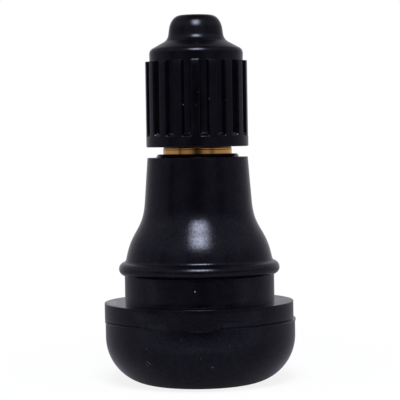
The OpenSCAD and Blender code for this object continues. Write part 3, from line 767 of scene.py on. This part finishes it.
# rows of (rib radius, groove radius, height) from the axis on top, down the outside and up the inside
def capRows(size):
    outer, groove, bore, hollow = size["outerR"], size["grooveR"], size["boreR"], size["hollowR"]
    band, runOut, ribTop, bottom = size["bandTop"], size["runOut"], size["ribTop"], size["bottom"]
    shoulder, domeFoot = (size["shoulderR"], size["shoulderZ"]), (size["domeFootR"], size["domeFootZ"])
    dome = (size["domeR"], size["domeZ"])
    lean = (size["domeFootR"] - size["domeR"]) / (size["domeZ"] - size["domeFootZ"])
    crown = curvePoints([(size["flatR"], size["top"]), (size["flatR"] + size["flatReach"], size["top"]),
                         (size["domeR"] - size["domeRise"] * lean, size["domeZ"] + size["domeRise"]), dome], 18)
    crown += roundCorner(dome, domeFoot, shoulder, size["domeFillet"], 12)
    crown += roundCorner(domeFoot, shoulder, (groove, ribTop), size["shoulderRound"], 8)
    rows = [(r, r, z) for r, z in divideLong([(0.0, size["top"])] + crown, size["longest"], False)]
    rows += [(groove + out, groove, ribTop + up) for out, up in size["ribFoot"]]
    rows += [(outer + out, groove, ribTop + up) for out, up in size["ribEdge"]]
    high, low = rows[-1][2], runOut + size["runOutStart"]
    rows += [(outer, groove, high + (low - high) * i / size["ribRows"]) for i in range(1, size["ribRows"])]
    rise, depth = runOut - band, outer - groove
    rows += [(outer, outer - share * depth, band + up * rise) for share, up in size["runOutShape"]]
    below = [(outer, band - size["bandEdge"]), (outer, bottom + size["bandEdge"])]
    below += roundCorner((outer, band), (outer, bottom), (0, bottom), size["edgeRound"], 6)
    lead = bottom + size["leadIn"]
    below += [(bore + size["leadIn"], bottom), (bore, lead)]
    below += [(bore, lead + (size["roof"] - lead) * (i + 1) / size["boreRows"]) for i in range(size["boreRows"])]
    below += [(hollow, size["roof"]), (hollow, size["hollowTop"] - size["hollowEdge"]),
              (hollow - size["hollowEdge"], size["hollowTop"]), (0, size["hollowTop"])]
    return rows + [(r, r, z) for r, z in below]


def makeCapSlice(size):
    half = size["ribShape"]
    columns = [(-a, d) for a, d in reversed(half[1:])] + list(half)
    shape = bmesh.new()
    grid = []
    for rib, groove, height in capRows(size):
        spots = [onCircle(rib + (groove - rib) * depth, height, math.radians(angle - 90))
                 for angle, depth in columns]
        grid.append([shape.verts.new(Vector(spot) * mm) for spot in spots])
    for a, b in zip(grid, grid[1:]):
        for i in range(len(columns) - 1):
            shape.faces.new((a[i], b[i], b[i + 1], a[i + 1]))
    return toMesh("capSlice", shape)


def makeRibTree():
    tree, given = newTree("ribbedCap", {
        "Slice": "NodeSocketGeometry", "Ribs": int, "Material": "NodeSocketMaterial"})
    spots = addNode(tree, "GeometryNodePoints", {"Count": given["Ribs"]})
    step = addNode(tree, "ShaderNodeMath", {0: 2 * math.pi, 1: given["Ribs"]}, operation="DIVIDE")
    index = addNode(tree, "GeometryNodeInputIndex")
    angle = addNode(tree, "ShaderNodeMath", {0: index, 1: step}, operation="MULTIPLY")
    turn = addNode(tree, "ShaderNodeCombineXYZ", {"Z": angle})
    copies = addNode(tree, "GeometryNodeInstanceOnPoints", {
        "Points": spots, "Instance": given["Slice"], "Rotation": turn})
    return finishTree(tree, copies, given["Material"])


def makeCap(size):
    values = {"Ribs": size["ribs"], "Material": mouldedNylon}
    body = closeMesh("capBody", growMesh("capSlices", makeRibTree(), values, makeCapSlice(size)))
    return joinMeshes("screwCap", [body, cutThread("capThread", size["thread"], mouldedNylon)])


screwCap = showPiece("screwCap", makeCap(capSize), mouldedNylon, 40)
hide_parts("cap_shell")
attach(screwCap, "cap")
print("cap made:", len(screwCap.data.polygons), "faces")

# the plain turned and punched pieces stay as they are in the frame
for node, material in (("core_barrel", turnedBrass), ("barrel_seal", turnedPtfe), ("core_pin", drawnSteel),
                       ("seat_cup", turnedBrass), ("seat_washer", punchedNitrile), ("cap_gasket", punchedNitrile)):
    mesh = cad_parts[node].data
    mesh.materials.clear()
    mesh.materials.append(material)
print("plain pieces dressed")

# stage: a pale floor that keeps the shadow, a soft box in front and above, and a room dark behind the camera
stageSize = {
    "floor": 0.15, "floorColour": "#f4f4f4", "shadowSpan": (9 * mm, 60 * mm), "shadowLift": 0.86,
    # the floor as a gloss mirrors it: share of the way from front to back, and brightness
    "sheenSpan": (-120 * mm, 40 * mm),
    "sheen": ((0.0, 0.04), (0.35, 0.31), (0.6, 0.74), (0.65, 0.48), (0.7, 0.42), (1.0, 0.34)),
    "footSpan": (4.5 * mm, 10.5 * mm), "footShade": 0.01,  # it is dark under the foot
    # soft box: how far it hangs and the height of its aim in metres, then its place and size in degrees from there
    "boxDistance": 0.5, "boxAim": 0.018, "boxAside": 3, "boxElevation": 49.0, "boxWidth": 37, "boxHeight": 38,
    "boxRadiance": 18.0, "boxMiddle": 1.48, "boxTint": (0.93, 0.96, 1.0),
    "boxFull": {"X": 0.03, "Y": 0.1},  # how far from its middle it is at its brightest, where the edge is 0.5
    # degrees round from the camera's side, rightwards, and how bright the room is there
    "room": ((-180, 0.43), (-150, 0.38), (-118, 0.38), (-95, 0.39), (-76, 0.34), (-66, 0.31), (-62, 0.11),
             (-58, 0.11), (-53, 0.22), (-37, 0.28), (-22, 0.22), (-12, 0.1), (-6, 0.037), (0, 0.025), (8, 0.042),
             (14, 0.1), (20, 0.2), (33, 0.29), (42, 0.24), (48, 0.155), (56, 0.155), (61, 0.265), (70, 0.33),
             (85, 0.345), (111, 0.4), (150, 0.42), (180, 0.43)),
    "roomSpan": (0.35, 0.9), "ceiling": 0.3,
    # paler strip of wall round the soft box: sines of its lower and upper edges, brightness, and how far to the
    # back and to the front it fades
    "stripLow": (0.2, 0.6), "stripHigh": (0.85, 0.97), "strip": 0.4, "stripFacing": (-0.7, 0.3),
    "backdropSide": 0.5, "backdropMirrored": 0.22,  # how far round it reaches, and the share that gloss mirrors
    "wallTint": (0.86, 0.85, 1.0),
}
white = (1, 1, 1, 1)


# grey stops for a colour ramp, from its start to its end
def setStops(ramp, stops):
    for place, level in stops[1:-1]:
        ramp.elements.new(place).color = (level, level, level, 1)
    for end in (0, -1):
        ramp.elements[end].color = (stops[end][1],) * 3 + (1,)


# whether a ray comes straight from the camera, and whether it was mirrored or went through glass
def rayKinds(tree):
    path = addNode(tree, "ShaderNodeLightPath").outputs
    mirrored = addNode(tree, "ShaderNodeMath", {
        0: path["Is Glossy Ray"], 1: path["Is Transmission Ray"]}, operation="MAXIMUM")
    return path["Is Camera Ray"], mirrored


def makeFloor(size):
    mesh = bpy.data.meshes.new("floor")
    s = size["floor"]
    mesh.from_pydata([(-s, -s, 0), (s, -s, 0), (s, s, 0), (-s, s, 0)], [], [(0, 1, 2, 3)])
    floor = bpy.data.objects.new("floor", mesh)
    scene.collection.objects.link(floor)
    material, tree, where = newMaterial("paleFloor")
    material.cycles.emission_sampling = "NONE"
    toCamera, mirrored = rayKinds(tree)
    matt = addNode(tree, "ShaderNodeBsdfDiffuse", {"Color": fromHex(size["floorColour"])})
    glow = addNode(tree, "ShaderNodeEmission", {"Color": white, "Strength": 1.0})
    away = addNode(tree, "ShaderNodeVectorMath", {0: where}, operation="LENGTH")
    fade = addNode(tree, "ShaderNodeMapRange", {
        "Value": away, **reads(*size["shadowSpan"]), "To Min": size["shadowLift"]}, **smooth)
    share = addNode(tree, "ShaderNodeMath", {0: toCamera, 1: fade}, operation="MULTIPLY")
    both = addNode(tree, "ShaderNodeMixShader", {0: share, 1: matt, 2: glow})
    depth = addNode(tree, "ShaderNodeSeparateXYZ", {0: where})
    back = addNode(tree, "ShaderNodeMapRange", {"Value": depth.outputs["Y"], **reads(*size["sheenSpan"])})
    pale = addNode(tree, "ShaderNodeValToRGB", {"Fac": back})
    setStops(pale.color_ramp, size["sheen"])
    foot = addNode(tree, "ShaderNodeMapRange", {
        "Value": away, **reads(*size["footSpan"]), "To Min": size["footShade"]}, **smooth)
    level = addNode(tree, "ShaderNodeMath", {0: pale, 1: foot}, operation="MULTIPLY")
    sheen = addNode(tree, "ShaderNodeEmission", {"Color": size["wallTint"] + (1,), "Strength": level})
    seen = addNode(tree, "ShaderNodeMixShader", {0: mirrored, 1: both, 2: sheen})
    addNode(tree, "ShaderNodeOutputMaterial", {"Surface": seen})
    mesh.materials.append(material)


def hangSoftBox(size):
    lamp = bpy.data.lights.new("softBox", "AREA")
    lamp.shape = "RECTANGLE"
    lamp.size = 2 * size["boxDistance"] * math.tan(math.radians(size["boxWidth"] / 2))
    lamp.size_y = 2 * size["boxDistance"] * math.tan(math.radians(size["boxHeight"] / 2))
    lamp.energy = size["boxRadiance"] * math.pi * lamp.size * lamp.size_y
    lamp.color = size["boxTint"]
    lamp.use_nodes = True
    tree = lamp.node_tree
    tree.nodes.clear()
    spot = addNode(tree, "ShaderNodeSeparateXYZ", {
        0: addNode(tree, "ShaderNodeNewGeometry").outputs["Parametric"]})
    glow = size["boxMiddle"]
    for side, full in size["boxFull"].items():
        away = addNode(tree, "ShaderNodeMath", {0: spot.outputs[side], 1: 0.5}, operation="SUBTRACT")
        far = addNode(tree, "ShaderNodeMath", {0: away}, operation="ABSOLUTE")
        soft = addNode(tree, "ShaderNodeMapRange", {"Value": far, **reads(full, 0.5), **gives(1.0, 0.0)}, **smooth)
        glow = addNode(tree, "ShaderNodeMath", {0: soft, 1: glow}, operation="MULTIPLY")
    cloth = addNode(tree, "ShaderNodeEmission", {"Color": white, "Strength": glow})
    addNode(tree, "ShaderNodeOutputLight", {"Surface": cloth})
    box = bpy.data.objects.new("softBox", lamp)
    scene.collection.objects.link(box)
    box.rotation_euler = (math.pi / 2 - math.radians(size["boxElevation"]), 0, math.radians(size["boxAside"]))
    away = box.rotation_euler.to_matrix() @ Vector((0, 0, size["boxDistance"]))
    box.location = away + Vector((0, 0, size["boxAim"]))


def paintRoom(size):
    world = bpy.data.worlds.new("room")
    scene.world = world
    world.use_nodes = True
    tree = world.node_tree
    tree.nodes.clear()
    toCamera, mirrored = rayKinds(tree)
    way = addNode(tree, "ShaderNodeSeparateXYZ", {
        0: addNode(tree, "ShaderNodeTexCoord").outputs["Generated"]}).outputs
    ahead = addNode(tree, "ShaderNodeMath", {0: way["Y"], 1: -1.0}, operation="MULTIPLY")
    angle = addNode(tree, "ShaderNodeMath", {0: way["X"], 1: ahead}, operation="ARCTAN2")
    around = addNode(tree, "ShaderNodeMapRange", {"Value": angle, **reads(-math.pi, math.pi)})
    room = addNode(tree, "ShaderNodeValToRGB", {"Fac": around})
    setStops(room.color_ramp, [((turn + 180) / 360, level) for turn, level in size["room"]])
    high = addNode(tree, "ShaderNodeMapRange", {
        "Value": way["Z"], **reads(*size["roomSpan"]), **gives(1.0, size["ceiling"])}, **smooth)
    dim = addNode(tree, "ShaderNodeMath", {0: room, 1: high}, operation="MULTIPLY")
    strip = addNode(tree, "ShaderNodeMapRange", {"Value": way["Z"], **reads(*size["stripLow"])}, **smooth)
    top = addNode(tree, "ShaderNodeMapRange", {
        "Value": way["Z"], **reads(*size["stripHigh"]), **gives(size["strip"], 0.0)}, **smooth)
    facing = addNode(tree, "ShaderNodeMapRange", {"Value": ahead, **reads(*size["stripFacing"])})
    pale = addNode(tree, "ShaderNodeMath", {0: strip, 1: top}, operation="MULTIPLY")
    paler = addNode(tree, "ShaderNodeMath", {0: pale, 1: facing, 2: dim}, operation="MULTIPLY_ADD")
    walls = addNode(tree, "ShaderNodeBackground", {"Color": size["wallTint"] + (1,), "Strength": paler})
    # the camera sees a white backdrop, and gloss and glass mirror it where it stands, behind the valve
    backdrop = addNode(tree, "ShaderNodeBackground", {"Color": white, "Strength": 1.0})
    behind = addNode(tree, "ShaderNodeMapRange", {
        "Value": way["Y"], "From Min": size["backdropSide"], "To Max": size["backdropMirrored"]}, **smooth)
    share = addNode(tree, "ShaderNodeMath", {0: mirrored, 1: behind}, operation="MULTIPLY")
    either = addNode(tree, "ShaderNodeMath", {0: toCamera, 1: share}, operation="MAXIMUM")
    seen = addNode(tree, "ShaderNodeMixShader", {0: either, 1: walls, 2: backdrop})
    addNode(tree, "ShaderNodeOutputWorld", {"Surface": seen})


makeFloor(stageSize)
hangSoftBox(stageSize)
paintRoom(stageSize)
print("stage set")
